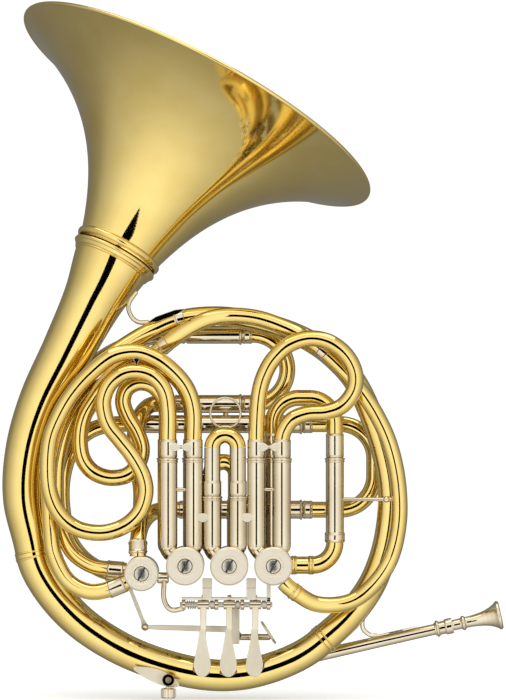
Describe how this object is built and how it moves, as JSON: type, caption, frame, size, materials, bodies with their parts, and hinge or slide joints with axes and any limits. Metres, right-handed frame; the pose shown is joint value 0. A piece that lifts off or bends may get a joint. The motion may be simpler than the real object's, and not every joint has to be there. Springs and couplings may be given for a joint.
{
  "type": "double french horn",
  "caption": "Coiled conical brass horn with a wide detachable bell flare, rotary valves with slide loops, string levers, a changeover thumb lever and a funnel mouthpiece.",
  "frame": {"origin": "on the axis of the middle finger valve's rotor, at the depth of the back of the front slide layer", "axes": "+X towards the mouthpiece, +Z towards the bell, -Y towards the valve caps"},
  "size_m": [0.3979, 0.3051, 0.5516],
  "materials": {
    "yellow_brass": "lacquered polished brass",
    "nickel_silver": "polished nickel silver",
    "steel": "brushed steel"
  },
  "bodies": {
    "horn": {"tail_collar": "yellow_brass", "bell_tail": "yellow_brass", "bottom_bow": "yellow_brass", "ring_bow": "yellow_brass", "first_branch": "yellow_brass", "valve_ring": "yellow_brass", "inner_branch": "yellow_brass", "leadpipe": "nickel_silver", "mouthpiece_receiver": "nickel_silver", "tuning_return": "yellow_brass", "extension_return": "yellow_brass", "extension_feed": "yellow_brass", "casing_1": "nickel_silver", "casing_2": "nickel_silver", "casing_3": "nickel_silver", "change_casing": "nickel_silver", "valve_caps": "nickel_silver", "back_plates": "nickel_silver", "cap_screws": "steel", "valve_1_sockets": "nickel_silver", "valve_2_sockets": "nickel_silver", "valve_3_sockets": "nickel_silver", "tuning_sockets": "nickel_silver", "extension_sockets": "nickel_silver", "slide_braces": "nickel_silver", "bell_brace": "nickel_silver", "leadpipe_brace": "nickel_silver", "ring_brace": "nickel_silver", "lever_rack": "nickel_silver", "lever_axle": "steel", "thumb_post": "nickel_silver", "hook_plate": "nickel_silver", "hook_socket": "nickel_silver"},
    "bell": {"bell_flare": "yellow_brass", "bell_rim_wire": "yellow_brass", "bell_ring": "yellow_brass"},
    "mouthpiece_body": {"mouthpiece": "nickel_silver"},
    "f1_body": {"f1_slide": "yellow_brass"},
    "f2_body": {"f2_slide": "yellow_brass", "pull_ring": "nickel_silver"},
    "f3_body": {"f3_slide": "yellow_brass"},
    "b1_body": {"b1_slide": "yellow_brass"},
    "b2_body": {"b2_slide": "yellow_brass"},
    "b3_body": {"b3_slide": "yellow_brass"},
    "tuning_body": {"tuning_slide": "yellow_brass"},
    "extension_body": {"extension_slide": "yellow_brass"},
    "valve_1_body": {"rotor_1": "yellow_brass", "stop_arm_1": "nickel_silver"},
    "valve_2_body": {"rotor_2": "yellow_brass", "stop_arm_2": "nickel_silver"},
    "valve_3_body": {"rotor_3": "yellow_brass", "stop_arm_3": "nickel_silver"},
    "change_body": {"change_rotor": "yellow_brass", "change_stop_arm": "nickel_silver"},
    "lever_1_body": {"finger_lever_1": "nickel_silver"},
    "lever_2_body": {"finger_lever_2": "nickel_silver"},
    "lever_3_body": {"finger_lever_3": "nickel_silver"},
    "thumb_body": {"thumb_lever": "nickel_silver"},
    "link_body": {"change_link": "nickel_silver"},
    "screw_body": {"hook_screw": "nickel_silver"}
  },
  "joints": [
    {"name": "bell_lift", "type": "slide", "parent": "horn", "child": "bell", "axis": [0.4583, 0.2161, 0.8621], "range_m": [0, 0.04]},
    {"name": "mouthpiece_pull", "type": "slide", "parent": "horn", "child": "mouthpiece_body", "axis": [0.9763, 0, 0.2164], "range_m": [0, 0.03]},
    {"name": "f1_pull", "type": "slide", "parent": "horn", "child": "f1_body", "axis": [0, 0, 1], "range_m": [0, 0.05]},
    {"name": "f2_pull", "type": "slide", "parent": "horn", "child": "f2_body", "axis": [0, 0, 1], "range_m": [0, 0.03]},
    {"name": "f3_pull", "type": "slide", "parent": "horn", "child": "f3_body", "axis": [0, 0, 1], "range_m": [0, 0.05]},
    {"name": "b1_pull", "type": "slide", "parent": "horn", "child": "b1_body", "axis": [0, 0, 1], "range_m": [0, 0.018]},
    {"name": "b2_pull", "type": "slide", "parent": "horn", "child": "b2_body", "axis": [0, 0, 1], "range_m": [0, 0.016]},
    {"name": "b3_pull", "type": "slide", "parent": "horn", "child": "b3_body", "axis": [0, 0, 1], "range_m": [0, 0.006]},
    {"name": "tuning_pull", "type": "slide", "parent": "horn", "child": "tuning_body", "axis": [1, 0, 0], "range_m": [0, 0.018]},
    {"name": "extension_pull", "type": "slide", "parent": "horn", "child": "extension_body", "axis": [1, 0, 0], "range_m": [0, 0.012]},
    {"name": "finger_1_press", "type": "hinge", "parent": "horn", "child": "lever_1_body", "pos_m": [0.0205, -0.002, -0.031], "axis": [1, 0, 0], "range_deg": [0, 10], "stiffness_Nm_per_rad": 0.25, "springref_deg": -11.46},
    {"name": "finger_2_press", "type": "hinge", "parent": "horn", "child": "lever_2_body", "pos_m": [0, -0.002, -0.031], "axis": [1, 0, 0], "range_deg": [0, 10], "stiffness_Nm_per_rad": 0.25, "springref_deg": -11.46},
    {"name": "finger_3_press", "type": "hinge", "parent": "horn", "child": "lever_3_body", "pos_m": [-0.0205, -0.002, -0.031], "axis": [1, 0, 0], "range_deg": [0, 10], "stiffness_Nm_per_rad": 0.25, "springref_deg": -11.46},
    {"name": "rotor_1_turn", "type": "hinge", "parent": "horn", "child": "valve_1_body", "pos_m": [0.0347, 0.025, 0], "axis": [0, 1, 0], "range_deg": [0, 90]},
    {"name": "rotor_2_turn", "type": "hinge", "parent": "horn", "child": "valve_2_body", "pos_m": [0, 0.025, 0], "axis": [0, 1, 0], "range_deg": [0, 90]},
    {"name": "rotor_3_turn", "type": "hinge", "parent": "horn", "child": "valve_3_body", "pos_m": [-0.0347, 0.025, 0], "axis": [0, 1, 0], "range_deg": [0, 90]},
    {"name": "thumb_press", "type": "hinge", "parent": "horn", "child": "thumb_body", "pos_m": [0.005, 0.031, -0.057], "axis": [0, 1, 0], "range_deg": [0, 22], "stiffness_Nm_per_rad": 0.25, "springref_deg": -11.46},
    {"name": "change_rotor_turn", "type": "hinge", "parent": "horn", "child": "change_body", "pos_m": [-0.069, 0.025, -0.006], "axis": [0, 1, 0], "range_deg": [0, 90]},
    {"name": "link_swing", "type": "hinge", "parent": "thumb_body", "child": "link_body", "pos_m": [-0.067, 0.031, -0.05], "axis": [0, 1, 0], "range_deg": [-40, 0]},
    {"name": "hook_screw_turn", "type": "hinge", "parent": "horn", "child": "screw_body", "pos_m": [-0.048, -0.006, -0.1], "axis": [0, 0, 1], "continuous": true}
  ],
  "couplings": [
    {"joint": "rotor_1_turn", "follows": "finger_1_press", "ratio": 9},
    {"joint": "rotor_2_turn", "follows": "finger_2_press", "ratio": 9},
    {"joint": "rotor_3_turn", "follows": "finger_3_press", "ratio": 9},
    {"joint": "change_rotor_turn", "follows": "thumb_press", "ratio": 4.09},
    {"joint": "link_swing", "follows": "thumb_press", "ratio": -1.67}
  ]
}
